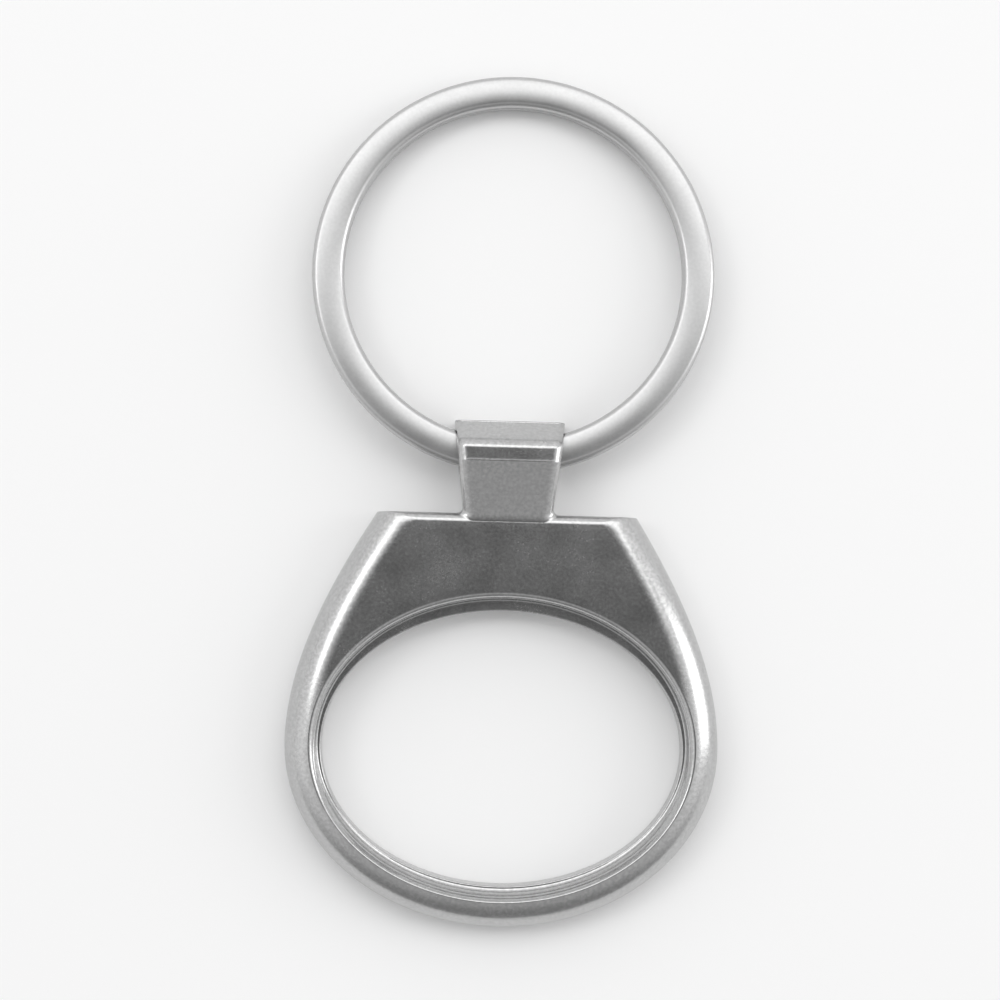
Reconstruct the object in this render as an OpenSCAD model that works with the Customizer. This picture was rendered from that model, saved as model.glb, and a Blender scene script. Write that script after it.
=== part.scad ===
// Keychain bottle opener: a cast body with an oval cap mouth and an eye,
// and a flat split key ring that runs through the eye.
// It lies on its flat back. X runs across it, Y runs from the bowl of the body
// to the far side of the key ring, and Z points up out of the front face.
// The origin is the centre of the footprint, on the plane that it lies on.

/* [Body] */
// Width across the widest place
body_w = 38; // [34:0.5:46]
// Length of the straight top edge
top_w = 22.9; // [18:0.1:28]
// Height of the top edge above the widest place
shoulder_h = 20.3; // [16.5:0.1:25]
// Depth of the bowl below the widest place
bowl_h = 15.7; // [13:0.1:20]
// Thickness of the body
body_t = 4.4; // [3.6:0.1:5.4]
// Angle between the flanks and the Y axis at the top corners
flank_angle = 32; // [22:1:40]
// Width, seen from the front, of the rounding along the flanks and the bowl
round_w = 2.9; // [2:0.1:3.5]
// Height of that rounding
round_h = 3; // [1.5:0.1:3.2]
// Radius along the top edge
top_r = 0.8; // [0.3:0.1:1.2]
// Broken edge around the back face
back_break = 0.3; // [0.1:0.05:0.5]

/* [Cap mouth] */
// Frame between the outline and the rim of the mouth, at the sides
side_wall = 2.2; // [1.5:0.1:2.6]
// The same at the bottom of the bowl
bowl_wall = 2.4; // [1.6:0.1:3]
// Height of the plate between the top edge and the rim
brow_h = 6.8; // [5:0.1:9]
// Distance that the wall of the mouth runs inwards from the rim
wall_run = 0.75; // [0.75:0.05:1.1]
// Width of the lip that catches the cap, at the top of the mouth
lip_w = 0.9; // [0.6:0.05:2]
// Width of the ledge that the lip fades into, at the sides
lip_side = 0.25; // [0.2:0.05:0.5]
// Width of that ledge at the bottom of the bowl
lip_bottom = 0.45; // [0.3:0.05:0.6]
// Thickness of the lip
lip_t = 2.3; // [1.4:0.1:2.7]
// Radius of the rim
rim_r = 0.45; // [0.2:0.05:0.45]
// Radius at the foot of the wall
foot_r = 0.3; // [0.1:0.05:0.3]

/* [Eye] */
// Height of the swing axis above the top edge of the body
hinge_h = 5; // [4.2:0.1:7]
// Metal in front of the throat of the hole, and behind it
eye_wall = 1.4; // [1.1:0.1:2]
// Metal above the throat of the hole
eye_top_wall = 1.5; // [1.3:0.1:2.5]
// Width of the eye at its top
eye_top_w = 9.7; // [8:0.1:12]
// Width of the eye where it leaves the body
eye_base_w = 7.8; // [6:0.1:10]
// Depth, along Y, of the slope on top of the eye
hood_run = 2.1; // [1:0.1:2.6]
// Height of the upright band on the front of the eye
band_h = 1.6; // [0.8:0.1:2.4]
// Radius of the edges of the eye
eye_r = 0.45; // [0.3:0.05:0.6]
// Radius of the fillets between the eye and the body
root_r = 0.6; // [0.3:0.1:1.2]

/* [Key ring] */
// Outer diameter of the key ring
ring_od = 35.5; // [28:0.5:42]
// Width of the wire, across the ring
wire_w = 2.8; // [2.2:0.1:3.4]
// Thickness of one coil
coil_t = 1; // [0.8:0.05:1.25]
// Gap between the two coils
seam = 0.05; // [0.04:0.01:0.1]
// Radius of the outer edges of the wire
wire_r = 0.45; // [0.2:0.05:0.5]
// Depth of the groove that the rounded edges of the wire leave along the gap
seam_groove = 0.12; // [0.05:0.01:0.2]
// Length over which the wire crosses from one coil to the other
crossover = 4.2; // [3.4:0.1:5]
// Distance between the crossover and each free end of the wire
end_gap = 0.5; // [0.3:0.1:0.8]
// Clearance around the wire in the hole of the eye
swing_gap = 0.12; // [0.1:0.01:0.3]

/* [Hidden] */
$fn = 96;
bowl_steps = 18;
flank_steps = 10;
top_steps = 4;
arc_steps = 5;
corner_steps = 4;
ramp_steps = 10;

// Depth that a piece of the casting runs into its neighbour
sink = 1;
// Flat strip left between the rounded edge and the rim, where they meet
rim_land = 0.15;

// Mouth: the rim is an ellipse in the front face, the hole one in the back face
body_a = body_w/2;
rim_a = body_a - side_wall;
rim_top = shoulder_h - brow_h;
rim_bottom = bowl_wall - bowl_h;
rim_b = (rim_top - rim_bottom)/2;
rim_y = (rim_top + rim_bottom)/2;
hole_top = rim_top - wall_run - lip_w;
hole_bottom = rim_bottom + wall_run + lip_bottom;
hole_a = rim_a - wall_run - lip_side;
hole_b = (hole_top - hole_bottom)/2;
hole_y = (hole_top + hole_bottom)/2;

// Key ring
ring_r = ring_od/2;
mean_r = ring_r - wire_w/2;
ring_t = 2*coil_t + seam;
half_flat = ring_t/2 - wire_r;

// Farthest that the wire gets from the swing axis as it turns, at a distance x
// from the middle of the eye
function reach(x) =
    let (inner = mean_r - sqrt(pow(ring_r - wire_w, 2) - x*x) - wire_r)
    norm([inner, half_flat]) + wire_r;

// Eye: the hole is narrowest in the middle, and opens out as the wire curves away
throat_r = reach(0) + swing_gap;
eye_h = hinge_h + throat_r + eye_top_wall;
mouth_x = eye_half(hinge_h);
mouth_r = reach(mouth_x) + swing_gap;
hinge_z = throat_r + eye_wall;
eye_t = 2*hinge_z;
hood_h = eye_h - hood_run;
crease_h = hood_h - band_h;
// Back of the eye, a little in front of the back face of the body
eye_back = 0.1;

function eye_half(h) = (eye_base_w + (eye_top_w - eye_base_w)*h/eye_h)/2;

// The ring leans until the far side of its wire touches the plane z = 0
hinge_y = shoulder_h + hinge_h;
far_reach = mean_r + ring_r - wire_r;
lean = asin((hinge_z - wire_r)/norm([far_reach, half_flat])) - atan(half_flat/far_reach);
far_y = hinge_y + far_reach*cos(lean) + half_flat*sin(lean) + wire_r;

// Middle of the whole length, measured from the widest place of the body
centre_y = (far_y - bowl_h)/2;

function unit(v) = v/norm(v);
function both_halves(half) =
    concat(half, [for (i = [len(half) - 2 : -1 : 1]) [-half[i].x, half[i].y, half[i].z]]);
function arc(centre, radius, from) =
    [for (i = [0 : arc_steps])
        let (a = from + 90*i/arc_steps)
        centre + radius*[cos(a), sin(a)]];

// Right flank: a cubic curve from the widest place to the top corner
flank_dir = [-sin(flank_angle), cos(flank_angle)];
flank_pull = shoulder_h/3;
flank_ends = [
    [body_a, 0],
    [body_a, flank_pull],
    [top_w/2, shoulder_h] - flank_dir*flank_pull/cos(flank_angle),
    [top_w/2, shoulder_h],
];

function flank(t) =
    let (s = 1 - t, p = flank_ends)
    s*s*s*p[0] + 3*s*s*t*p[1] + 3*s*t*t*p[2] + t*t*t*p[3];

function flank_tangent(t) =
    let (s = 1 - t, p = flank_ends)
    unit(s*s*(p[1] - p[0]) + 2*s*t*(p[2] - p[1]) + t*t*(p[3] - p[2]));

// Edge of one half of the body, as points with their outward normals: along the
// bowl, up the flank, and along the top edge to the middle
bowl_edge = [
    for (i = [0 : bowl_steps - 1])
        let (a = 90*i/bowl_steps - 90)
        [[body_a*cos(a), bowl_h*sin(a)], unit([cos(a)/body_a, sin(a)/bowl_h])]
];
flank_edge = [
    for (i = [0 : flank_steps])
        let (t = i/flank_steps, d = flank_tangent(t))
        [flank(t), [d.y, -d.x]]
];
top_edge = [
    for (i = [1 : top_steps])
        [[(1 - i/top_steps)*top_w/2, shoulder_h], [0, 1]]
];
half_edge = concat(bowl_edge, flank_edge, top_edge);
corner_at = bowl_steps + flank_steps;

// Distance from a point of the edge to the rim, straight inwards
function room(e) =
    let (
        u = [e[1].x/rim_a, e[1].y/rim_b],
        v = [e[0].x/rim_a, (e[0].y - rim_y)/rim_b],
        d = pow(u*v, 2) - (u*u)*(v*v - 1)
    )
    d < 0 ? round_w : (u*v - sqrt(d))/(u*u);

// Height of the rounded edge at a distance inwards from the outline
function dome(inset) =
    body_t - round_h*(1 - sqrt(1 - pow(1 - min(inset/round_w, 1), 2)));

// Part of the rounding, as an angle, that there is room for outside the rim
function round_angle(e) = acos(max(1 - (room(e) - rim_land)/round_w, 0));

// Distance that the radius along the top edge moves it inwards, at a height
function top_inset(z) =
    let (rise = max(z - body_t + top_r, 0))
    top_r - sqrt(top_r*top_r - rise*rise);

// Ring of points round the body, from the inset and the height of each one
function edge_ring(insets, heights, top_y) =
    let (
        corner = half_edge[corner_at][0] - insets[corner_at]*half_edge[corner_at][1],
        top_x = corner.x + flank_dir.x*(top_y - corner.y)/flank_dir.y
    )
    both_halves([
        for (i = [0 : len(half_edge) - 1])
            let (e = half_edge[i], p = e[0] - insets[i]*e[1])
            i < corner_at
                ? [p.x, p.y, heights[i]]
                : [top_x*e[0].x*2/top_w, top_y, heights[i]]
    ]);

// Ring of the rounded outside, at a share of the rounding from 0 to 1
function outside_ring(share) =
    let (insets = [for (e = half_edge) round_w*(1 - cos(round_angle(e)*share))])
    edge_ring(insets, [for (d = insets) dome(d)],
        shoulder_h - top_inset(dome(insets[corner_at])));

// The same value for each point of a ring
function level(value) = [for (e = half_edge) value];

// Ellipse with one point for each point of the edge, in the same direction
function oval(a, b, y, heights) =
    both_halves([
        for (i = [0 : len(half_edge) - 1])
            let (p = half_edge[i][0], d = unit([p.x/rim_a, (p.y - rim_y)/rim_b]))
            [a*d.x, b*d.y + y, heights[i]]
    ]);

rim_level = [for (e = half_edge) dome(room(e))];

// Rounded rectangle, drawn anticlockwise from its lower left corner
function corner_arc(x, y, radius, from) =
    [for (i = [0 : corner_steps])
        let (a = from + 90*i/corner_steps)
        [x, y] + radius*[cos(a), sin(a)]];

function rounded_box(left, right, low, high, low_r, high_r) = concat(
    corner_arc(left + low_r, low + low_r, low_r, 180),
    corner_arc(right - low_r, low + low_r, low_r, 270),
    corner_arc(right - high_r, high - high_r, high_r, 0),
    corner_arc(left + high_r, high - high_r, high_r, 90));

// Solid through a row of rings with the same number of points. A closed row
// comes back to its first ring, and an open one has a flat cap at each end.
module skin(rings, closed = false) {
    n = len(rings[0]);
    rows = len(rings);
    sides = [
        for (j = [0 : rows - (closed ? 1 : 2)]) for (i = [0 : n - 1])
            let (k = (i + 1) % n, up = (j + 1) % rows)
            [j*n + i, up*n + i, up*n + k, j*n + k]
    ];
    caps = closed ? [] : [
        [for (i = [0 : n - 1]) i],
        [for (i = [n - 1 : -1 : 0]) (rows - 1)*n + i],
    ];
    polyhedron([for (ring = rings) for (p = ring) p], concat(sides, caps));
}

// Body around its mouth: up the outside, over the front face, down the rim, the
// wall and the foot to the lip, and through the hole to the back face
module frame_and_plate() {
    quarter = arc([0, 0], 1, 0);
    rim = [
        for (i = [arc_steps : -1 : 0])
            let (run = rim_r*quarter[i].x, drop = rim_r*(1 - quarter[i].y))
            oval(rim_a - run, rim_b - run, rim_y, [for (z = rim_level) z - drop])
    ];
    foot = [
        for (p = quarter)
            let (run = wall_run - foot_r*p.x, z = lip_t + foot_r*(1 - p.y))
            oval(rim_a - run, rim_b - run, rim_y, level(z))
    ];
    skin(concat(
        [edge_ring(level(back_break), level(0), shoulder_h - back_break)],
        [edge_ring(level(0), level(back_break), shoulder_h)],
        [for (i = [0 : arc_steps]) outside_ring(i/arc_steps)],
        rim,
        foot,
        [oval(hole_a, hole_b, hole_y, level(lip_t))],
        [oval(hole_a, hole_b, hole_y, level(back_break))],
        [oval(hole_a + back_break, hole_b + back_break, hole_y, level(0))]),
        closed = true);
}

// Rounded block of the eye, drawn up from inside the body: front slope, upright
// band, hood and rounded top
module eye_block() {
    slope = (eye_t - body_t)/(crease_h + top_r/2);
    edge = eye_r/2;
    levels = [
        [-sink, eye_t - slope*(crease_h + sink), 0],
        [crease_h, eye_t, 0],
        [hood_h - edge, eye_t, 0],
        [hood_h, eye_t - edge, 0],
        [eye_h - edge, hinge_z, 0],
        [eye_h, hinge_z, edge],
    ];
    skin([
        for (level = levels)
            let (
                h = level[0],
                inset = level[2],
                half = eye_half(h) - inset,
                box = rounded_box(-half, half, eye_back + inset, level[1] - inset,
                    eye_r - inset, eye_r - inset)
            )
            [for (i = [len(box) - 1 : -1 : 0]) [box[i].x, shoulder_h + h, box[i].y]]
    ]);
}

// Fillet in the corner between one side of the eye and the top edge
module root_fillet() {
    lap = 0.05;
    translate([eye_half(0) - lap, shoulder_h - lap, back_break])
        linear_extrude(body_t - top_r - back_break)
            difference() {
                square(root_r + lap);
                translate([root_r + lap, root_r + lap])
                    circle(root_r);
            }
}

// Hole of the eye: two cones that meet at the throat
module eye_hole() {
    length = eye_top_w/2 + sink;
    open_r = throat_r + (mouth_r - throat_r)*length/mouth_x;
    translate([0, hinge_y, hinge_z])
        for (turn = [-90, 90])
            rotate([0, turn, 0])
                cylinder(length, throat_r, open_r);
}

module opener_body() {
    color([0.55, 0.55, 0.57])
        translate([0, -centre_y, 0])
            difference() {
                union() {
                    frame_and_plate();
                    eye_block();
                    for (side = [0, 1])
                        mirror([side, 0, 0])
                            root_fillet();
                }
                eye_hole();
            }
}

// Space over the crossover, up to the free end of the upper coil. Turned over,
// it is the space under the crossover, up to the free end of the lower coil.
module crossover_space() {
    drop = coil_t + seam;
    end = crossover/2 + end_gap;
    curve = [
        for (i = [0 : ramp_steps])
            let (t = i/ramp_steps)
            [crossover*(t - 0.5), ring_t/2 - drop*(1 - cos(180*t))/2]
    ];
    translate([0, -mean_r, 0])
        rotate([90, 0, 0])
            linear_extrude(wire_w + 2*sink, center = true)
                polygon(concat(
                    [[-crossover/2, ring_t/2 + sink]],
                    curve,
                    [[end, -seam/2], [end, ring_t/2 + sink]]));
}

// Gap between the two coils, opening into a groove at the edges of the wire
module seam_space() {
    inner = mean_r - wire_w/2;
    half = seam/2;
    wide = half + seam_groove;
    upper = [
        [ring_r + seam, wide + seam],
        [ring_r - seam_groove, half],
        [inner + seam_groove, half],
        [inner - seam, wide + seam],
    ];
    start = asin((crossover + end_gap)/2/mean_r);
    rotate([0, 0, start - 90])
        rotate_extrude(angle = 360 - 2*start)
            polygon(concat([for (i = [3 : -1 : 0]) [upper[i].x, -upper[i].y]], upper));
}

// Wire wound into two coils: a full ring, parted by the gap and at the crossover
module wire() {
    difference() {
        rotate_extrude()
            polygon(rounded_box(mean_r - wire_w/2, ring_r, -ring_t/2, ring_t/2, wire_r, wire_r));
        seam_space();
        crossover_space();
        rotate([0, 180, 0])
            crossover_space();
    }
}

module split_ring() {
    color([0.78, 0.78, 0.79])
        translate([0, hinge_y - centre_y, hinge_z])
            rotate([-lean, 0, 0])
                translate([0, mean_r, 0])
                    wire();
}

opener_body();
split_ring();
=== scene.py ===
"""Looks of the keychain bottle opener: the cast body and the split key ring, in
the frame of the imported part. Lengths are millimetres up to make_object, which
turns them into metres. Lengths in materials, lights and the camera are metres."""

import math

import bmesh
import bpy
import numpy as np
from mathutils import Matrix


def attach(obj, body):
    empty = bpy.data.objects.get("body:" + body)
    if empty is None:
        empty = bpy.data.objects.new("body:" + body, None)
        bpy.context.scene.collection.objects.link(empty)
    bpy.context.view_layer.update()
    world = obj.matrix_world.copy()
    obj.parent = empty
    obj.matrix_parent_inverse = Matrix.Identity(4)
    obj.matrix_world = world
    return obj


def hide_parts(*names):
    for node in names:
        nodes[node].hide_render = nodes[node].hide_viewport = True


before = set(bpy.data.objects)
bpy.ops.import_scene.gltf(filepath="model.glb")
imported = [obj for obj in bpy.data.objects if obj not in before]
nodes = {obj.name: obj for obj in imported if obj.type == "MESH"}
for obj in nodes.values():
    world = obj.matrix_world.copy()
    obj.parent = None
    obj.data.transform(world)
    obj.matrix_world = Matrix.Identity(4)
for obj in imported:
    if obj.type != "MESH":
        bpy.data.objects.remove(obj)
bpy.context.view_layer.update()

MM = 0.001
WELD = 2e-7
UV_SCALE = 0.01

# Body, as in the CAD source
BODY_W, TOP_W, SHOULDER_H, BOWL_H, BODY_T = 38.0, 22.9, 20.3, 15.7, 4.4
FLANK = math.radians(32)
ROUND_W, ROUND_H, TOP_R, BREAK = 2.9, 3.0, 0.8, 0.3
SIDE_WALL, BOWL_WALL, BROW_H, WALL_RUN = 2.2, 2.4, 6.8, 0.75
LIP_W, LIP_SIDE, LIP_BOTTOM, LIP_T = 0.9, 0.25, 0.45, 2.3
RIM_R = 0.45
# least width left between the rounding and the rim
LAND = 0.06

# Eye, as in the CAD source
HINGE_H, EYE_WALL, EYE_TOP_WALL = 5.0, 1.4, 1.5
EYE_TOP_W, EYE_BASE_W, HOOD_RUN, BAND_H = 9.7, 7.8, 2.1, 1.6
ROOT_R = 0.6

# Key ring, as in the CAD source
RING_OD, WIRE_W, COIL_T, SEAM, WIRE_R = 35.5, 2.8, 1.0, 0.05, 0.45
GROOVE_R, CROSSOVER, END_GAP, SWING_GAP = 0.12, 4.2, 0.5, 0.12

# Body, details of the looks. CORNER_R is the upright corner between flank and top
# edge, which grows by CORNER_GROWTH towards the plate.
CORNER_R, CORNER_GROWTH = 0.15, 1.5
# the rim gets tighter towards the bowl by this share, and the wall leans there
RIM_TIGHTER = 0.6
BOWL_FROM, BOWL_BLEND = 0.1, 0.8
# fine step under the rim, as (distance outwards, distance down)
RIM_STEP = [
    (0.0, 0.02),
    (0.015, 0.06),
    (0.07, 0.085),
    (0.095, 0.13),
    (0.1, 0.25),
    (0.1, 0.45),
]
FOOT_H, FOOT_TALLER, FOOT_LEAN = 0.42, 0.7, 0.25
LIP_EDGE, LEDGE = 0.12, 0.16

# Eye, details of the looks
CREASE_DIP, CREASE_RUN = 0.012, 0.24
BROW_OUT, BROW_SOFT, ROOT_SOFT, ROOT_UNDER = 0.02, 0.75, 0.18, 0.02
EYE_FRONT_R, EYE_BACK_R, EYE_BACK, EYE_END = 0.85, 0.35, 0.1, 0.12
# number of points on the long sides of the eye's section, from the back face on
EYE_SIDES = (18, 14, 18, 14)
HOLE_FLARE, FLARE_RUN, HOLE_REACH = 0.1, 0.5, 6.2

# Key ring, details of the looks: how far the middle of the wire's face stands proud
# of its edges, and the way round its section
CROWN, WIRE_ROUND = 0.17, 7.6

# Steps of the meshes
BOWL_STEPS, FLANK_STEPS, CORNER_STEPS, TOP_STEPS = 84, 72, 10, 30
DOME_ROWS, PLATE_ROWS, EDGE_STEPS, RIM_STEPS = 26, 10, 5, 8
SIDE_ROWS, LIP_ROWS = (0.6, 1.0), (1.7, 1.2, 0.7)
DENSE = 400
RING_STEPS, CROSSOVER_STEPS = 1100, 40
HOLE_STEP_DEG = 3.75

# Sizes that follow from those above
BODY_A = BODY_W / 2
RIM_A = BODY_A - SIDE_WALL
RIM_B = (SHOULDER_H - BROW_H - BOWL_WALL + BOWL_H) / 2
RIM_Y = (SHOULDER_H - BROW_H + BOWL_WALL - BOWL_H) / 2
HOLE_TOP = SHOULDER_H - BROW_H - WALL_RUN - LIP_W
HOLE_BOTTOM = BOWL_WALL - BOWL_H + WALL_RUN + LIP_BOTTOM
HOLE_A = RIM_A - WALL_RUN - LIP_SIDE
HOLE_B = (HOLE_TOP - HOLE_BOTTOM) / 2
HOLE_Y = (HOLE_TOP + HOLE_BOTTOM) / 2

RING_R = RING_OD / 2
MEAN_R = RING_R - WIRE_W / 2
RING_T = 2 * COIL_T + SEAM
HALF_FLAT = RING_T / 2 - WIRE_R


def eye_half(h):
    """Half width of the eye at a height above the body's top edge."""
    return (EYE_BASE_W + (EYE_TOP_W - EYE_BASE_W) * h / EYE_H) / 2


def reach(x):
    """How far the wire reaches from the hole's axis, at x along the axis."""
    inner = MEAN_R - math.sqrt((RING_R - WIRE_W) ** 2 - x * x) - WIRE_R
    return math.hypot(inner, HALF_FLAT) + WIRE_R


THROAT_R = reach(0) + SWING_GAP
EYE_H = HINGE_H + THROAT_R + EYE_TOP_WALL
MOUTH_X = eye_half(HINGE_H)
MOUTH_R = reach(MOUTH_X) + SWING_GAP
HINGE_Z = THROAT_R + EYE_WALL
EYE_T = 2 * HINGE_Z
HOOD_H = EYE_H - HOOD_RUN
CREASE_H = HOOD_H - BAND_H
HINGE_Y = SHOULDER_H + HINGE_H
FAR_REACH = MEAN_R + RING_R - WIRE_R
LEAN = math.asin((HINGE_Z - WIRE_R) / math.hypot(FAR_REACH, HALF_FLAT))
LEAN -= math.atan(HALF_FLAT / FAR_REACH)
FAR_Y = HINGE_Y + FAR_REACH * math.cos(LEAN) + HALF_FLAT * math.sin(LEAN) + WIRE_R
CENTRE_Y = (FAR_Y - BOWL_H) / 2


# --------------------------------------------------------------- small helpers
def eased(share):
    """Share from 0 to 1 that starts and ends gently."""
    share = np.clip(share, 0, 1)
    return share * share * (3 - 2 * share)


def soft_min(a, b, width):
    """The smaller of two heights, with a round change from one to the other."""
    share = np.clip(0.5 + 0.5 * (a - b) / width, 0, 1)
    return a * (1 - share) + b * share - width * share * (1 - share)


def quarter(steps):
    """Angles of a quarter turn, both ends included."""
    return [math.pi / 2 * k / steps for k in range(steps + 1)]


def arc(cx, cz, r, start_deg, steps):
    """Points of a quarter circle, anticlockwise."""
    angles = [math.radians(start_deg + 90 * i / steps) for i in range(steps + 1)]
    return [(cx + r * math.cos(a), cz + r * math.sin(a)) for a in angles]


def between(first, last, shares):
    """Rings on the straight way from one ring to another."""
    return [first * (1 - share) + last * share for share in shares]


# ---------------------------------------------------------------- mesh helpers
def make_object(name, points, faces, uvs=None):
    mesh = bpy.data.meshes.new(name)
    mesh.from_pydata((np.asarray(points) * MM).tolist(), [], faces)
    if uvs is not None:
        layer = mesh.uv_layers.new(name="UVMap")
        at = np.empty(len(mesh.loops), dtype=np.int64)
        mesh.loops.foreach_get("vertex_index", at)
        layer.data.foreach_set("uv", np.asarray(uvs)[at].ravel())
    mesh.validate()
    mesh.update()
    obj = bpy.data.objects.new(name, mesh)
    bpy.context.scene.collection.objects.link(obj)
    return obj


def skin(rings, closed):
    """Points and quads through rings of equal length. A closed row comes back to
    its first ring, and an open one has a fan at each end."""
    rows, n = len(rings), len(rings[0])
    points = np.concatenate(rings)
    faces = []
    for j in range(rows if closed else rows - 1):
        up = (j + 1) % rows
        for i in range(n):
            k = (i + 1) % n
            faces.append((j * n + i, j * n + k, up * n + k, up * n + i))
    if not closed:
        for first, order in ((0, -1), ((rows - 1) * n, 1)):
            middle = len(points)
            points = np.vstack([points, points[first : first + n].mean(0)])
            for i in range(n):
                k = (i + 1) % n
                pair = (first + i, first + k)[::order]
                faces.append((middle, *pair))
    return points, faces


def combine(obj, other, how):
    """Exact boolean of two objects, made real in the first one."""
    mod = obj.modifiers.new(how, "BOOLEAN")
    mod.operation = how
    mod.object = other
    mod.solver = "EXACT"
    depsgraph = bpy.context.evaluated_depsgraph_get()
    mesh = bpy.data.meshes.new_from_object(obj.evaluated_get(depsgraph))
    obj.modifiers.clear()
    obj.data = mesh
    bpy.data.objects.remove(other)


def soften(obj, sharp_deg):
    """Smooth shading, with a crease where the faces turn by more than the angle."""
    bm = bmesh.new()
    bm.from_mesh(obj.data)
    bmesh.ops.remove_doubles(bm, verts=bm.verts, dist=WELD)
    bmesh.ops.dissolve_degenerate(bm, edges=bm.edges, dist=WELD)
    for face in bm.faces:
        face.smooth = True
    limit = math.radians(sharp_deg)
    for edge in bm.edges:
        if len(edge.link_faces) == 2:
            edge.smooth = edge.calc_face_angle(0) < limit
    bm.to_mesh(obj.data)
    bm.free()
    return obj


# ------------------------------------------------------- outline of the body
FLANK_DIR = np.array([-math.sin(FLANK), math.cos(FLANK)])
FLANK_OUT = np.array([math.cos(FLANK), math.sin(FLANK)])
PULL = SHOULDER_H / 3
CORNER = np.array([TOP_W / 2, SHOULDER_H])
FLANK_ENDS = np.array(
    [[BODY_A, 0], [BODY_A, PULL], CORNER - FLANK_DIR * PULL / math.cos(FLANK), CORNER]
)


def flank(t):
    """Points and outward normals of the flank, a Bezier curve."""
    t = np.asarray(t)[:, None]
    s, p = 1 - t, FLANK_ENDS
    at = s**3 * p[0] + 3 * s * s * t * p[1] + 3 * s * t * t * p[2] + t**3 * p[3]
    way = s * s * (p[1] - p[0]) + 2 * s * t * (p[2] - p[1]) + t * t * (p[3] - p[2])
    way /= np.linalg.norm(way, axis=1)[:, None]
    return at, np.stack([way[:, 1], -way[:, 0]], 1)


def room(at, out):
    """Distance from the outline to the rim, straight inwards."""
    u = out / [RIM_A, RIM_B]
    v = (at - [0, RIM_Y]) / [RIM_A, RIM_B]
    uu, uv, vv = (u * u).sum(1), (u * v).sum(1), (v * v).sum(1)
    d = uv * uv - uu * (vv - 1)
    misses_rim = 99.0
    return np.where(d < 0, misses_rim, (uv - np.sqrt(np.maximum(d, 0))) / uu)


def dome(inset):
    """Height of the rounded frame at a distance in from the outline."""
    left = 1 - np.minimum(np.asarray(inset, float) / ROUND_W, 1)
    return BODY_T - ROUND_H * (1 - np.sqrt(1 - left * left))


def top_inset(z):
    """How far the rounded top edge stands back at a height."""
    rise = max(z - BODY_T + TOP_R, 0)
    return TOP_R - math.sqrt(max(TOP_R * TOP_R - rise * rise, 0))


def round_angle(space):
    """Angle of the rounding that fits into the space up to the rim."""
    return np.arccos(np.clip(1 - (space - LAND) / ROUND_W, 0, 1))


BOWL_ANGLES = np.radians(90 * np.arange(BOWL_STEPS) / BOWL_STEPS - 90)
BOWL_WAY = np.stack([np.cos(BOWL_ANGLES), np.sin(BOWL_ANGLES)], 1)
BOWL_AT = BOWL_WAY * [BODY_A, BOWL_H]
BOWL_OUT = BOWL_WAY / [BODY_A, BOWL_H]
BOWL_OUT /= np.linalg.norm(BOWL_OUT, axis=1)[:, None]
FLANK_AT, FLANK_NORMAL = flank(np.linspace(0, 1, DENSE))
BOWL_ROOM, FLANK_ROOM = room(BOWL_AT, BOWL_OUT), room(FLANK_AT, FLANK_NORMAL)


def both_halves(half):
    other = half[-2:0:-1].copy()
    other[:, 0] *= -1
    return np.vstack([half, other])


def edge_ring(bowl_inset, flank_inset, top_y, corner_r, height):
    """Ring of points round the body. The insets are arrays along the bowl and the
    flank, and height gives z from an inset."""
    bowl = BOWL_AT - bowl_inset[:, None] * BOWL_OUT
    bowl = np.column_stack([bowl, height(bowl_inset)])
    side = FLANK_AT - flank_inset[:, None] * FLANK_NORMAL
    z = height(flank_inset)
    turn = math.pi / 2 - FLANK
    beyond = (top_y - side[-1, 1]) / FLANK_DIR[1] - corner_r * math.tan(turn / 2)
    lengths = np.linalg.norm(np.diff(side, axis=0), axis=1)
    run = np.concatenate([[0], np.cumsum(lengths)])
    side_run = run[-1] + beyond
    if beyond > 0:
        side = np.vstack([side, side[-1] + FLANK_DIR * beyond])
        run = np.append(run, side_run)
        z = np.append(z, z[-1])
    at = side_run * np.arange(FLANK_STEPS + 1) / FLANK_STEPS
    side = np.column_stack([np.interp(at, run, side[:, c]) for c in (0, 1)])
    side = np.column_stack([side, np.interp(at, run, z)])
    middle = side[-1, :2] - corner_r * FLANK_OUT
    angles = FLANK + turn * np.arange(1, CORNER_STEPS + 1) / CORNER_STEPS
    corner = middle + corner_r * np.stack([np.cos(angles), np.sin(angles)], 1)
    top_x = corner[-1, 0] * (1 - np.arange(1, TOP_STEPS + 1) / TOP_STEPS)
    top = np.stack([top_x, np.full(TOP_STEPS, top_y)], 1)
    rest = np.vstack([corner, top])
    rest = np.column_stack([rest, np.full(len(rest), side[-1, 2])])
    return both_halves(np.vstack([bowl, side, rest]))


def level_ring(inset, z):
    """Ring at one height and one distance in from the outline."""
    return edge_ring(
        np.full(BOWL_STEPS, inset),
        np.full(DENSE, inset),
        SHOULDER_H - inset,
        CORNER_R,
        lambda insets: np.full(len(insets), z),
    )


# the outline, and the direction of each of its points from the mouth's middle
GUIDE = level_ring(0, 0)[:, :2]
WAY = (GUIDE - [0, RIM_Y]) / [RIM_A, RIM_B]
WAY /= np.linalg.norm(WAY, axis=1)[:, None]


def guide_normals():
    """Outward normals of the guide ring, in its order."""
    way = np.roll(GUIDE, -1, 0) - np.roll(GUIDE, 1, 0)
    way /= np.linalg.norm(way, axis=1)[:, None]
    return np.stack([way[:, 1], -way[:, 0]], 1)


def oval(a, b, y, z):
    z = np.broadcast_to(z, len(WAY))
    return np.column_stack([a * WAY[:, 0], b * WAY[:, 1] + y, z])


def rim_oval(run, z):
    return oval(RIM_A - run, RIM_B - run, RIM_Y, z)


def hole_oval(out, z):
    return oval(HOLE_A + out, HOLE_B + out, HOLE_Y, z)


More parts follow.
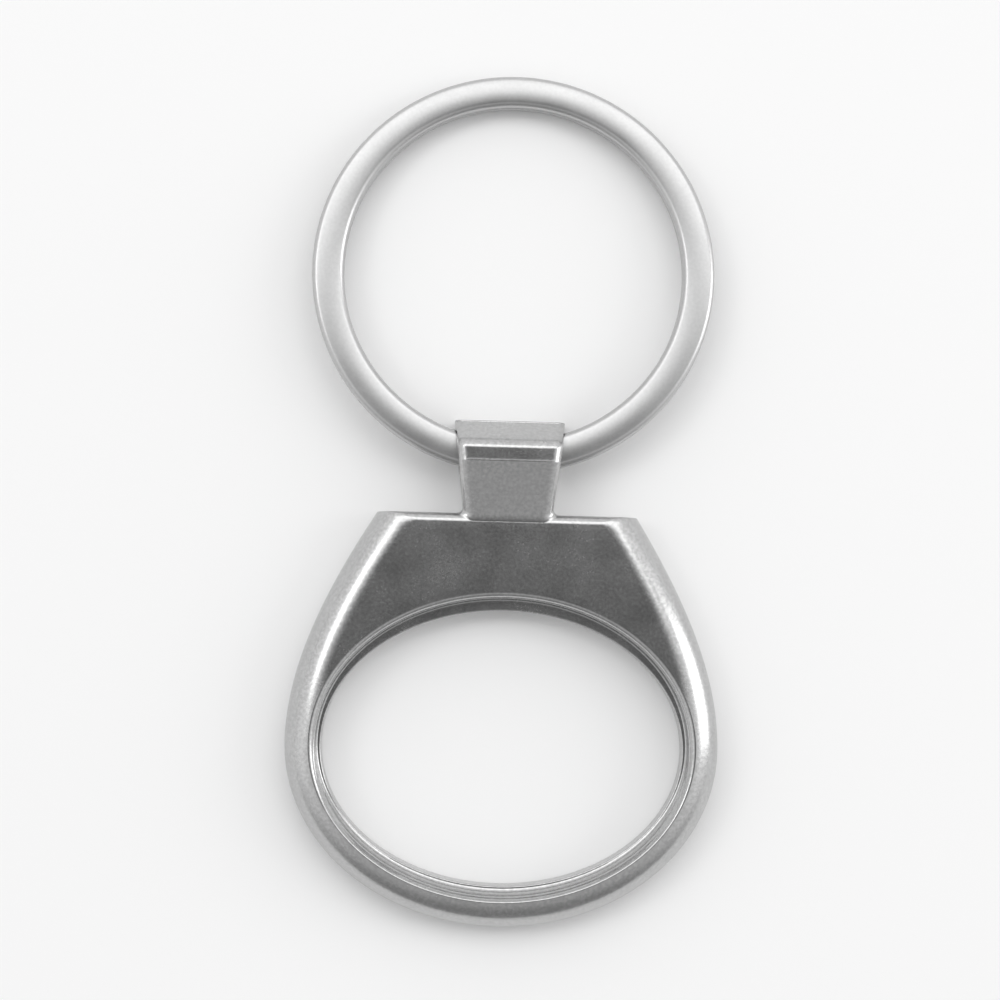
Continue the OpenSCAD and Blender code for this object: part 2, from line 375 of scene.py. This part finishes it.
# ------------------------------------------------------------------- the body
def outer_rings():
    """Rings from the edge of the back face, up the side and over the rounding."""
    rings = [
        level_ring(BREAK * (1 - math.sin(a)), BREAK * (1 - math.cos(a)))
        for a in quarter(EDGE_STEPS)
    ]
    rings += [level_ring(0, z) for z in SIDE_ROWS]
    for k in range(DOME_ROWS + 1):
        share = k / DOME_ROWS
        bowl = ROUND_W * (1 - np.cos(round_angle(BOWL_ROOM) * share))
        side = ROUND_W * (1 - np.cos(round_angle(FLANK_ROOM) * share))
        z = float(dome(side[-1]))
        corner_r = CORNER_R + CORNER_GROWTH * share**2
        rings.append(edge_ring(bowl, side, SHOULDER_H - top_inset(z), corner_r, dome))
    return rings


def mouth_rings(rim_z):
    """Rings from the rim down through the mouth to the back face. At the top of the
    mouth the rim is round, with a fine step under it. Towards the bowl the rim gets
    tighter, and the wall leans and runs out almost to the hole."""
    bowl_share = eased((BOWL_FROM - WAY[:, 1]) / BOWL_BLEND)
    rim_r = RIM_R * (1 - RIM_TIGHTER * bowl_share)
    rings = [
        rim_oval(rim_r * math.sin(a), rim_z - rim_r * (1 - math.cos(a)))
        for a in quarter(RIM_STEPS)
    ]
    for out, drop in RIM_STEP:
        run = rim_r + out * (1 - bowl_share)
        rings.append(rim_oval(run, rim_z - rim_r - drop))

    foot_h = FOOT_H + FOOT_TALLER * bowl_share
    foot_top = rim_oval(run + FOOT_LEAN * bowl_share, LIP_T + foot_h)
    foot_end = oval(
        RIM_A - WALL_RUN - bowl_share * (LIP_SIDE - LEDGE),
        RIM_B - WALL_RUN - bowl_share * (LIP_BOTTOM - LEDGE),
        RIM_Y,
        LIP_T,
    )
    rings += between(rings[-1], foot_top, (0.33, 0.66))
    for a in quarter(RIM_STEPS):
        foot = foot_top + (foot_end - foot_top) * (1 - math.cos(a))
        foot[:, 2] = LIP_T + foot_h * (1 - math.sin(a))
        rings.append(foot)

    rings += between(foot_end, hole_oval(LIP_EDGE, LIP_T), (0.25, 0.5, 0.75))
    for a in quarter(EDGE_STEPS):
        out, drop = LIP_EDGE * (1 - math.sin(a)), LIP_EDGE * (1 - math.cos(a))
        rings.append(hole_oval(out, LIP_T - drop))
    rings += [hole_oval(0, z) for z in LIP_ROWS]
    for a in quarter(EDGE_STEPS):
        out, z = BREAK * (1 - math.cos(a)), BREAK * (1 - math.sin(a))
        rings.append(hole_oval(out, z))
    return rings


def frame_and_plate():
    rings = outer_rings()
    rim_z = dome(room(GUIDE, guide_normals()))
    plate_shares = [k / PLATE_ROWS for k in range(1, PLATE_ROWS)]
    rings += between(rings[-1], rim_oval(0, rim_z), plate_shares)
    rings += mouth_rings(rim_z)
    rings += between(rings[-1], rings[0], (0.2, 0.4, 0.6, 0.8))
    points, faces = skin(rings, closed=True)
    lengths = np.linalg.norm(np.diff(GUIDE, axis=0), axis=1)
    u = np.tile(np.concatenate([[0], np.cumsum(lengths)]), len(rings))
    row_height = 0.15
    v = np.repeat(np.arange(len(rings)) * row_height, len(GUIDE))
    return points, faces, np.stack([u, v], 1) * UV_SCALE


def eye_front(h):
    """Height z of the eye's front face at a height h above the top edge."""
    slope = (EYE_T - BODY_T) / (CREASE_H + TOP_R / 2)
    z = EYE_T - slope * np.maximum(CREASE_H - h, 0)
    z = z - CREASE_DIP * eased((h - CREASE_H) / CREASE_RUN)
    # hood: a slope down to the middle of the thickness, with a rounded brow
    fall = (EYE_T - HINGE_Z) / HOOD_RUN
    hood = EYE_T - fall * (h - HOOD_H - BROW_OUT)
    z = soft_min(hood, z, BROW_SOFT)
    # root: runs out into the plate, and stays just under it
    rooted = -soft_min(ROOT_UNDER - BODY_T, -z, ROOT_SOFT)
    return np.where(h < CREASE_H / 2, rooted, z)


def root_flare(above):
    """How far the side of the eye flares out at a height above the body."""
    d = np.clip(ROOT_R - above, 0, ROOT_R)
    return ROOT_R - np.sqrt(ROOT_R * ROOT_R - d * d)


def eye_heights():
    """Heights of the eye's sections, closest at the root, the crease and the brow."""
    marks = [
        (-2.6, 4),
        (-0.9, 30),
        (0.9, 13),
        (CREASE_H - 0.25, 12),
        (CREASE_H + 0.25, 5),
        (HOOD_H - 0.5, 19),
        (HOOD_H + 0.4, 11),
        (EYE_H - EYE_END, 1),
    ]
    rows = [
        np.linspace(low, high, steps, endpoint=False)
        for (low, steps), (high, _) in zip(marks, marks[1:])
    ]
    return np.concatenate([*rows, [EYE_H - EYE_END]])


def with_sides(loop):
    """The loop of four corners, with points added along its four long sides."""
    n = len(loop) // 4
    out = []
    for c, count in enumerate(EYE_SIDES):
        out.extend(loop[c * n : (c + 1) * n])
        start, end = loop[(c + 1) * n - 1], loop[((c + 1) * n) % len(loop)]
        out.extend(start + (end - start) * i / count for i in range(1, count))
    return np.array(out)


def eye_block():
    """The eye as sections at rising heights, with a rounded top end."""
    ends = [
        (EYE_H - EYE_END + EYE_END * math.sin(a), EYE_END * (1 - math.cos(a)))
        for a in np.radians([18, 36, 54, 72, 90])
    ]
    rings = []
    for h, inset in [(h, 0.0) for h in eye_heights()] + ends:
        front = float(eye_front(min(h, EYE_H - EYE_END))) - inset
        back = EYE_BACK + inset
        half = eye_half(max(h, 0)) - inset
        front_r = min(EYE_FRONT_R, (front - back) / 2.2) - inset * 0.5
        back_r = EYE_BACK_R - inset
        section = with_sides(
            np.array(
                arc(-half + back_r, back + back_r, back_r, 180, 8)
                + arc(half - back_r, back + back_r, back_r, 270, 8)
                + arc(half - front_r, front - front_r, front_r, 0, 8)
                + arc(-half + front_r, front - front_r, front_r, 90, 8)
            )
        )
        x, z = section.T
        if h < ROOT_R:
            surface = np.array([-top_inset(v) for v in np.minimum(z, BODY_T)])
            at_side = np.clip((np.abs(x) - half + front_r) / front_r, 0, 1)
            x = x + np.sign(x) * root_flare(h - surface) * at_side
        rings.append(np.column_stack([x, np.full(len(x), SHOULDER_H + h), z]))
    points, faces = skin(rings[::-1], closed=False)
    return points, faces, points[:, :2] * UV_SCALE


def eye_hole():
    """Round hole with its throat in the middle and softly rounded mouths."""
    slope = (MOUTH_R - THROAT_R) / MOUTH_X
    flare_x = MOUTH_X - FLARE_RUN
    xs = np.concatenate(
        [np.linspace(0, flare_x - 0.05, 9), np.linspace(flare_x, HOLE_REACH, 30)]
    )
    radii = THROAT_R + slope * xs + HOLE_FLARE * np.clip(xs - flare_x, 0, None) ** 2
    xs = np.concatenate([-xs[:0:-1], xs])
    radii = np.concatenate([radii[:0:-1], radii])
    a = np.radians(np.arange(0, 360, HOLE_STEP_DEG))
    rings = [
        np.column_stack(
            [np.full(len(a), x), HINGE_Y + r * np.cos(a), HINGE_Z + r * np.sin(a)]
        )
        for x, r in zip(xs, radii)
    ]
    return skin(rings, closed=False)


def make_body():
    shift = np.array([0, -CENTRE_Y, 0])
    points, faces, uvs = frame_and_plate()
    obj = make_object("cast_body", points + shift, faces, uvs)
    points, faces, uvs = eye_block()
    eye = make_object("eye_block", points + shift, faces, uvs)
    points, faces = eye_hole()
    hole = make_object("eye_hole", points + shift, faces, np.zeros((len(points), 2)))
    combine(obj, eye, "UNION")
    combine(obj, hole, "DIFFERENCE")
    return soften(obj, 40)


# --------------------------------------------------------------- the key ring
def coil_profile(upper):
    """Closed loop round the wire's section: a crowned face, round outer edges and
    tight edges at the seam. It is anticlockwise for the upper coil, and the lower
    coil has it upside down."""
    half_w, top, low = WIRE_W / 2, COIL_T / 2, -COIL_T / 2
    face_w, seam_w = WIRE_W - 2 * WIRE_R, WIRE_W - 2 * GROOVE_R
    loop = (
        arc(half_w - GROOVE_R, low + GROOVE_R, GROOVE_R, 270, 5)
        + arc(half_w - WIRE_R, top - WIRE_R, WIRE_R, 0, 9)
        + [(half_w - WIRE_R - face_w * i / 12, top) for i in range(1, 12)]
        + arc(-half_w + WIRE_R, top - WIRE_R, WIRE_R, 90, 9)
        + arc(-half_w + GROOVE_R, low + GROOVE_R, GROOVE_R, 180, 5)
        + [(-half_w + GROOVE_R + seam_w * i / 8, low) for i in range(1, 8)]
    )
    loop = np.array(loop)
    face = loop[:, 1] > top - WIRE_R - 1e-6
    loop[face, 1] -= CROWN * (loop[face, 0] / half_w) ** 2
    return loop if upper else loop * [1, -1]


def match(a, b):
    """Turn of loop b, in points, that brings it nearest to loop a."""
    return min(range(len(b)), key=lambda k: float(((np.roll(b, k, 0) - a) ** 2).sum()))


def path_angle(x):
    return math.asin(x / MEAN_R)


def make_ring():
    """The wire follows two turns: from its free end under the crossover, round the
    lower coil, up the crossover, and round the upper coil to the other end. Its
    path angle runs downwards, and the crossover is at minus one turn."""
    drop = COIL_T + SEAM
    half_c = CROSSOVER / 2
    free = half_c + END_GAP
    turn = 2 * math.pi
    ends = path_angle(free)
    plain = np.linspace(-ends, -2 * turn + ends, RING_STEPS)
    cross = path_angle(half_c)
    extra = -turn + np.linspace(-cross, cross, CROSSOVER_STEPS)
    path = np.unique(np.concatenate([plain, extra]))[::-1]
    upper, lower = coil_profile(True), coil_profile(False)[::-1]
    lower = np.roll(lower, match(upper, lower), axis=0)
    rings = []
    for p in path:
        if abs(p + turn) < cross:
            share = 0.5 - MEAN_R * math.sin(p + turn) / CROSSOVER
            rise = (1 - math.cos(math.pi * share)) / 2
        else:
            rise = 0.0 if p > -turn else 1.0
        loop = lower * (1 - rise) + upper * rise
        r = MEAN_R + loop[:, 0]
        z = -drop / 2 + drop * rise + loop[:, 1]
        rings.append(np.column_stack([r * math.sin(p), -r * math.cos(p), z]))
    points, faces = skin(rings, closed=False)
    n = len(upper)
    u = np.repeat(path * MEAN_R, n)
    v = np.tile(np.arange(n) / n * WIRE_ROUND, len(path))
    u, v = np.append(u, [u[0], u[-1]]), np.append(v, [0, 0])
    c, s = math.cos(LEAN), math.sin(LEAN)
    y, z = points[:, 1] + MEAN_R, points[:, 2]
    points = np.column_stack(
        [points[:, 0], HINGE_Y - CENTRE_Y + y * c + z * s, HINGE_Z - y * s + z * c]
    )
    obj = make_object("split_key_ring", points, faces, np.stack([u, v], 1) * UV_SCALE)
    bm = bmesh.new()
    bm.from_mesh(obj.data)
    bmesh.ops.recalc_face_normals(bm, faces=bm.faces)
    bm.to_mesh(obj.data)
    bm.free()
    return soften(obj, 50)


# ------------------------------------------------------------------ materials
def nodes_of(name):
    mat = bpy.data.materials.new(name)
    mat.use_nodes = True
    tree = mat.node_tree
    tree.nodes.clear()
    out = tree.nodes.new("ShaderNodeOutputMaterial")
    shader = tree.nodes.new("ShaderNodeBsdfPrincipled")
    tree.links.new(shader.outputs[0], out.inputs[0])
    return mat, tree, shader


def noise(tree, coords, scale, detail, rough, stretch=None):
    source = coords
    if stretch is not None:
        mapping = tree.nodes.new("ShaderNodeMapping")
        mapping.inputs["Scale"].default_value = stretch
        tree.links.new(coords, mapping.inputs["Vector"])
        source = mapping.outputs[0]
    node = tree.nodes.new("ShaderNodeTexNoise")
    node.inputs["Scale"].default_value = scale
    node.inputs["Detail"].default_value = detail
    node.inputs["Roughness"].default_value = rough
    tree.links.new(source, node.inputs["Vector"])
    return node.outputs[0]


def spread(tree, value, low, high, to_low=-0.5, to_high=0.5):
    """The value brought from one range to another, and held inside it."""
    node = tree.nodes.new("ShaderNodeMapRange")
    node.inputs["From Min"].default_value = low
    node.inputs["From Max"].default_value = high
    node.inputs["To Min"].default_value = to_low
    node.inputs["To Max"].default_value = to_high
    tree.links.new(value, node.inputs["Value"])
    return node.outputs[0]


def maths(tree, how, a, b):
    node = tree.nodes.new("ShaderNodeMath")
    node.operation = how
    for socket, value in zip(node.inputs, (a, b)):
        if isinstance(value, (int, float)):
            socket.default_value = value
        else:
            tree.links.new(value, socket)
    return node.outputs[0]


def varied(tree, base, layers):
    """A base value, with each layer times its factor added to it."""
    for layer, factor in layers:
        base = maths(tree, "ADD", maths(tree, "MULTIPLY", layer, factor), base)
    return base


def grey(tree, value):
    node = tree.nodes.new("ShaderNodeCombineColor")
    for socket in node.inputs[:3]:
        tree.links.new(value, socket)
    return node.outputs[0]


def bumps(tree, layers):
    """Chain of bump nodes, from (height, distance in metres, strength)."""
    normal = None
    for height, distance, strength in layers:
        node = tree.nodes.new("ShaderNodeBump")
        node.inputs["Strength"].default_value = strength
        node.inputs["Distance"].default_value = distance
        tree.links.new(height, node.inputs["Height"])
        if normal is not None:
            tree.links.new(normal, node.inputs["Normal"])
        normal = node.outputs[0]
    return normal


def satin_metal(name, tone, tone_spread, rough, rough_spread, grain, lines):
    """Plated metal with a soft cloud, fine pits, and fine lines along its length.
    grain and lines are the strengths of their bumps. The scales of the noises are
    per metre, or per metre of the UV map's own length."""
    mat, tree, shader = nodes_of(name)
    coords = tree.nodes.new("ShaderNodeTexCoord")
    place, uv = coords.outputs["Object"], coords.outputs["UV"]
    fine = noise(tree, place, 5200, 3, 0.6)
    pits = noise(tree, place, 3600, 2, 0.5)
    cloud = noise(tree, place, 260, 3, 0.5)
    brushed = noise(tree, uv, 900, 4, 0.6, stretch=(1, 40, 1))
    mottle = spread(tree, cloud, 0.3, 0.7)
    speck = spread(tree, pits, 0.35, 0.7)
    frost = spread(tree, fine, 0.3, 0.7)
    shade = varied(
        tree, tone, [(mottle, tone_spread * 0.4), (speck, tone_spread * 1.8)]
    )
    matte = varied(tree, rough, [(mottle, rough_spread), (frost, rough_spread)])
    tree.links.new(grey(tree, shade), shader.inputs["Base Color"])
    tree.links.new(matte, shader.inputs["Roughness"])
    shader.inputs["Metallic"].default_value = 1.0
    layers = [
        (pits, 0.00002, grain),
        (fine, 0.00001, grain),
        (brushed, 0.00001, lines),
    ]
    tree.links.new(bumps(tree, layers), shader.inputs["Normal"])
    return mat


def floor_material():
    mat, tree, shader = nodes_of("floor_pale")
    shader.inputs["Base Color"].default_value = (0.93, 0.93, 0.93, 1)
    shader.inputs["Roughness"].default_value = 0.9
    shader.inputs["Specular IOR Level"].default_value = 0.1
    return mat


# ------------------------------------------------------------ lights and camera
# tones of the studio room, as (upward part of the direction, grey value)
ROOM_TONES = [
    (0.0, 0.85),
    (0.3, 1.0),
    (0.6, 1.05),
    (0.82, 0.85),
    (0.93, 0.42),
    (0.98, 0.14),
    (1.0, 0.1),
]


def world_light():
    """A plain studio room as a gradient over direction: dim overhead, where the
    camera stands, and pale towards the walls."""
    world = bpy.data.worlds.new("studio")
    bpy.context.scene.world = world
    world.use_nodes = True
    tree = world.node_tree
    tree.nodes.clear()
    out = tree.nodes.new("ShaderNodeOutputWorld")
    back = tree.nodes.new("ShaderNodeBackground")
    tree.links.new(back.outputs[0], out.inputs[0])
    coords = tree.nodes.new("ShaderNodeTexCoord")
    split = tree.nodes.new("ShaderNodeSeparateXYZ")
    tree.links.new(coords.outputs["Generated"], split.inputs[0])
    ramp = tree.nodes.new("ShaderNodeValToRGB")
    tree.links.new(split.outputs["Z"], ramp.inputs[0])
    elements = ramp.color_ramp.elements
    elements[0].position, elements[1].position = 0.0, 1.0
    for position, value in ROOM_TONES[1:-1]:
        elements.new(position)
    for element, (position, value) in zip(elements, ROOM_TONES):
        element.position = position
        element.color = (value, value, value, 1)
    tree.links.new(ramp.outputs[0], back.inputs[0])
    # the wall on the side of the bowl is dark
    wall = spread(tree, split.outputs["Y"], -0.85, -0.25, 0.3, 1.0)
    tree.links.new(wall, back.inputs[1])


def stand(obj, x, y, z, place):
    """Puts an object in the scene, with its axes along x, y and z."""
    bpy.context.scene.collection.objects.link(obj)
    matrix = Matrix.Identity(4)
    for column, values in enumerate((x, y, z, place)):
        for row in range(3):
            matrix[row][column] = values[row]
    obj.matrix_world = matrix


def soft_box(name, azimuth, zenith, distance, size, radiance):
    """Rectangular soft light that faces the object. Azimuth is measured from +X
    towards +Y and zenith from straight up, in degrees."""
    data = bpy.data.lights.new(name, "AREA")
    data.shape = "RECTANGLE"
    data.size, data.size_y = size
    data.energy = radiance * size[0] * size[1] * math.pi
    a, t = math.radians(azimuth), math.radians(zenith)
    z = np.array([math.cos(a) * math.sin(t), math.sin(a) * math.sin(t), math.cos(t)])
    x = np.cross([0, 0, 1], z)
    x /= np.linalg.norm(x)
    stand(bpy.data.objects.new(name, data), x, np.cross(z, x), z, z * distance)


def make_camera():
    """Camera at the photograph's viewing angle. Its focal length in pixels and its
    place were fitted to the outline in the photograph."""
    data = bpy.data.cameras.new("camera")
    focal_px, image_px = 2139.84, 1000
    data.sensor_width = 36.0
    data.lens = focal_px / image_px * data.sensor_width
    data.clip_start, data.clip_end = 0.01, 10
    cam = bpy.data.objects.new("camera", data)
    stand(
        cam,
        (0.999288, 0.025429, 0.027861),
        (-0.026709, 0.998558, 0.046577),
        (-0.026636, -0.047288, 0.998526),
        (-0.005705, -0.009151, 0.190005),
    )
    bpy.context.scene.camera = cam


# -------------------------------------------------------------------- the scene
body = make_body()
ring = make_ring()

casting = satin_metal("satin_casting", 0.52, 0.05, 0.24, 0.05, 0.17, 0.05)
wire = satin_metal("satin_wire", 0.53, 0.02, 0.33, 0.04, 0.03, 0.06)
for obj, material in (
    (body, casting),
    (ring, wire),
    (nodes["opener_body"], casting),
    (nodes["split_ring"], wire),
):
    obj.data.materials.clear()
    obj.data.materials.append(material)

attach(body, "opener")
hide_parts("opener_body")
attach(ring, "ring")
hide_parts("split_ring")

FLOOR_HALF, FLOOR_Z = 1500, -0.02
floor_corners = [
    (x * FLOOR_HALF, y * FLOOR_HALF, FLOOR_Z)
    for x, y in ((-1, -1), (1, -1), (1, 1), (-1, 1))
]
floor = make_object("studio_floor", floor_corners, [(0, 1, 2, 3)])
floor.data.materials.append(floor_material())

world_light()
soft_box("key_top", 90, 29, 0.9, (1.3, 0.46), 1.4)
soft_box("side_left", 162, 44, 0.8, (0.22, 0.2), 3.0)
soft_box("side_right", 8, 72, 0.8, (0.3, 0.6), 2.5)
make_camera()
bpy.context.scene.view_settings.view_transform = "Standard"
bpy.context.scene.view_settings.look = "None"
